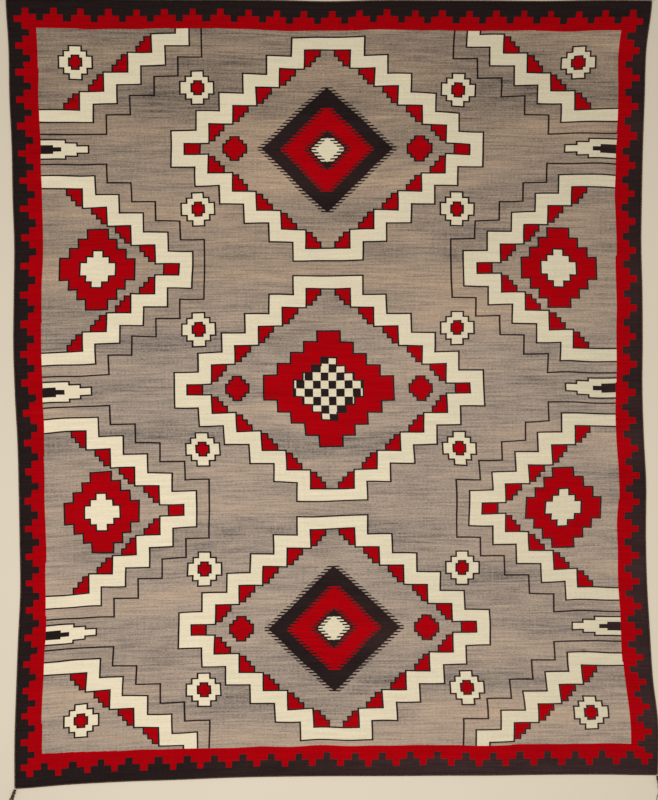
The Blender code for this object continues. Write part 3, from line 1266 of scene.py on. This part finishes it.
def make_tassel(corner, lean, strand_length, bend, seed):
    """Build a tassel: two twisted plies, which open into two-ply strands with frayed ends."""
    outward_x = math.copysign(1, CORNERS[corner].x)
    outward_y = math.copysign(1, CORNERS[corner].y)
    angle = math.radians(lean)
    ahead = Vector((outward_x * math.sin(angle), outward_y * math.cos(angle), 0))
    seat = CORD_GAP + CORD_DIAMETER + CORD_GAP
    root = CORNERS[corner] + Vector((outward_x * CORD_GAP, outward_y * seat, 0)) + SHIFT
    chance = random.Random(seed)
    yarns = YarnMesh(strips=2 + 2 * STRANDS)
    add_neck(yarns, root, ahead)
    for column in range(STRANDS):
        route = strand_route(root, ahead, column, strand_length, bend)
        phase = chance.uniform(0, math.pi)
        for start_angle in (phase, phase + math.pi):
            centres = twisted(route, STRAND_PLY_OFFSET, STRAND_PITCH, start_angle)
            yarns.add_yarn(centres, [STRAND_PLY_RADIUS] * len(centres), STRAND_SIDES)
        run = (route[-1] - route[-TIP_SAMPLES]).normalized()
        add_fray(yarns, route[-1].copy(), run, chance)
    return yarns.make_object("tassel_" + corner)


def length(name, description, default, precision=3):
    """Declare a length that a user may change."""
    return bpy.props.FloatProperty(
        name=name, description=description, default=default, precision=precision, unit="LENGTH"
    )


def colour(name, description, default):
    """Declare a colour that a user may change."""
    return bpy.props.FloatVectorProperty(
        name=name, description=description, default=default, subtype="COLOR"
    )


class RugSizes(bpy.types.PropertyGroup):
    warp_pitch: length("Warp Pitch", "Distance from one warp to the next", 0.0026, 5)
    weft_pitch: length("Weft Pitch", "Distance from one weft row to the next", 0.0011, 5)
    wander_warps: bpy.props.FloatProperty(
        name="Wander Across",
        description="How many warps a line of the pattern may wander",
        default=1.9,
    )
    wander_rows: bpy.props.FloatProperty(
        name="Wander Along",
        description="How many weft rows a line of the pattern may wander",
        default=4.6,
    )
    mesh_step: length("Mesh Step", "Size of the faces of the woven sheet", MESH_STEP, 4)


class RugColours(bpy.types.PropertyGroup):
    field: colour("Field", "Grey-beige ground yarn", (0.314, 0.251, 0.204))
    field_tan: colour("Field Tan", "Browner ground yarn", (0.286, 0.207, 0.144))
    cream: colour("Cream", "Undyed light yarn", (0.71, 0.62, 0.44))
    red: colour("Red", "Deep red yarn", (0.34, 0.0004, 0.003))
    dark: colour("Dark", "Black yarn", (0.016, 0.010, 0.0095))
    dark_brown: colour("Dark Brown", "Browner black yarn", (0.042, 0.022, 0.021))
    cord: colour("Edge Cord", "Brown edge cord", (0.075, 0.038, 0.022))
    cord_light: colour("Light Flecks", "Flecks in the cords", (0.16, 0.095, 0.058))
    tassel: colour("Tassel", "Dark brown tassel yarn", (0.030, 0.017, 0.012))


class StageSettings(bpy.types.PropertyGroup):
    view_height: length("View Height", "Height of the floor that the picture shows", 2.32)
    camera_height: length("Camera Height", "Height of the camera over the rug", 6.5)
    look_at: bpy.props.FloatVectorProperty(
        name="Look At",
        description="Where the camera looks, from the middle of the weaving",
        size=2,
        default=(-0.0096, -0.0186),
        unit="LENGTH",
    )
    sky_strength: bpy.props.FloatProperty(
        name="Sky Strength", description="Even light from all round", default=0.55
    )
    key_power: bpy.props.FloatProperty(
        name="Key Power", description="Power of the large soft lamp", default=66.0, unit="POWER"
    )
    floor_colour: colour("Floor", "Plain pale floor", (0.62, 0.54, 0.42))


class RUG_OT_weave_body(bpy.types.Operator):
    """Weave the body of the rug"""

    bl_idname = "rug.weave_body"
    bl_label = "Weave Body"
    bl_options = {"REGISTER", "UNDO"}

    def execute(self, context):
        sizes = context.scene.rug_sizes
        sheet = make_woven_sheet(sizes)
        dress(sheet, woven_material(sizes, context.scene.rug_colours), "woven_body")
        return {"FINISHED"}


class RUG_OT_bind_edges(bpy.types.Operator):
    """Bind the four edges of the rug with plied cords"""

    bl_idname = "rug.bind_edges"
    bl_label = "Bind Edges"
    bl_options = {"REGISTER", "UNDO"}

    def execute(self, context):
        colours = context.scene.rug_colours
        material = cord_material("edge_cord_wool", colours.cord, colours.cord_light, EDGE_SLANT)
        for row in EDGE_CORDS:
            dress(make_edge_cord(*row), material, row[0])
        return {"FINISHED"}


class RUG_OT_tie_tassels(bpy.types.Operator):
    """Tie a twisted tassel to each corner of the rug"""

    bl_idname = "rug.tie_tassels"
    bl_label = "Tie Tassels"
    bl_options = {"REGISTER", "UNDO"}

    def execute(self, context):
        colours = context.scene.rug_colours
        material = cord_material("tassel_wool", colours.tassel, colours.cord_light, TASSEL_SLANT)
        for row in TASSELS:
            dress(make_tassel(*row), material, "corner_tassel_" + row[0])
        return {"FINISHED"}


def add_floor(colour):
    """Lay a plain floor just under the rug."""
    half = FLOOR_HALF
    corners = [(-half, -half, 0), (half, -half, 0), (half, half, 0), (-half, half, 0)]
    mesh = bpy.data.meshes.new("floor")
    mesh.from_pydata(corners, [], [(0, 1, 2, 3)])
    mesh.materials.append(floor_material(colour))
    floor = bpy.data.objects.new("floor", mesh)
    floor.location.z = -FLOOR_DROP
    bpy.context.scene.collection.objects.link(floor)


def add_lamp(name, place, size, power):
    """Hang one large soft lamp, unseen itself, that shines straight down."""
    lamp = bpy.data.lights.new(name, "AREA")
    lamp.shape = "DISK"
    lamp.size = size
    lamp.energy = power
    lamp_object = bpy.data.objects.new(name, lamp)
    lamp_object.location = place
    lamp_object.visible_camera = False
    bpy.context.scene.collection.objects.link(lamp_object)


def add_camera(stage):
    """Hang the camera straight over the rug, in the picture's frame."""
    camera = bpy.data.cameras.new("camera")
    camera.sensor_fit = "VERTICAL"
    camera.lens = camera.sensor_height * stage.camera_height / stage.view_height
    camera.clip_end = CAMERA_REACH
    camera_object = bpy.data.objects.new("camera", camera)
    look_at = Vector((stage.look_at[0], stage.look_at[1], 0))
    camera_object.location = SHIFT + look_at + UP * (BODY_HIGH[2] + stage.camera_height)
    bpy.context.scene.collection.objects.link(camera_object)
    bpy.context.scene.camera = camera_object


class RUG_OT_set_stage(bpy.types.Operator):
    """Lay the floor, hang the lamp and place the camera over the rug"""

    bl_idname = "rug.set_stage"
    bl_label = "Set Stage"
    bl_options = {"REGISTER", "UNDO"}

    def execute(self, context):
        scene = context.scene
        stage = scene.rug_stage
        add_floor(stage.floor_colour)
        world = bpy.data.worlds.new("soft_studio")
        world.use_nodes = True
        sky = world.node_tree.nodes["Background"]
        sky.inputs["Color"].default_value = SKY_COLOUR
        sky.inputs["Strength"].default_value = stage.sky_strength
        scene.world = world
        add_lamp("key_lamp", KEY_PLACE, KEY_SIZE, stage.key_power)
        add_camera(stage)
        scene.view_settings.view_transform = "Standard"
        return {"FINISHED"}


class RUG_PT_panel(bpy.types.Panel):
    """The rug's steps, sizes and colours"""

    bl_idname = "RUG_PT_panel"
    bl_label = "Hand-woven Rug"
    bl_space_type = "VIEW_3D"
    bl_region_type = "UI"
    bl_category = "Rug"

    def draw(self, context):
        for operator in OPERATORS:
            self.layout.operator(operator.bl_idname)
        for group in (context.scene.rug_sizes, context.scene.rug_colours, context.scene.rug_stage):
            box = self.layout.box()
            for name in group.bl_rna.properties.keys():
                if name not in ("rna_type", "name"):
                    box.prop(group, name)


OPERATORS = (RUG_OT_weave_body, RUG_OT_bind_edges, RUG_OT_tie_tassels, RUG_OT_set_stage)
CLASSES = (RugSizes, RugColours, StageSettings, *OPERATORS, RUG_PT_panel)


def register():
    for entry in CLASSES:
        bpy.utils.register_class(entry)
    bpy.types.Scene.rug_sizes = bpy.props.PointerProperty(type=RugSizes)
    bpy.types.Scene.rug_colours = bpy.props.PointerProperty(type=RugColours)
    bpy.types.Scene.rug_stage = bpy.props.PointerProperty(type=StageSettings)


def unregister():
    del bpy.types.Scene.rug_stage
    del bpy.types.Scene.rug_colours
    del bpy.types.Scene.rug_sizes
    for entry in reversed(CLASSES):
        bpy.utils.unregister_class(entry)


def main():
    """Make the rug and its stage."""
    register()
    bpy.ops.rug.weave_body()
    bpy.ops.rug.bind_edges()
    bpy.ops.rug.tie_tassels()
    bpy.ops.rug.set_stage()
    pieces = [piece for piece in bpy.data.objects if piece.name.endswith("_plied")]
    pieces += [piece for piece in bpy.data.objects if piece.name.startswith("tassel_")]


if __name__ == "__main__":
    main()
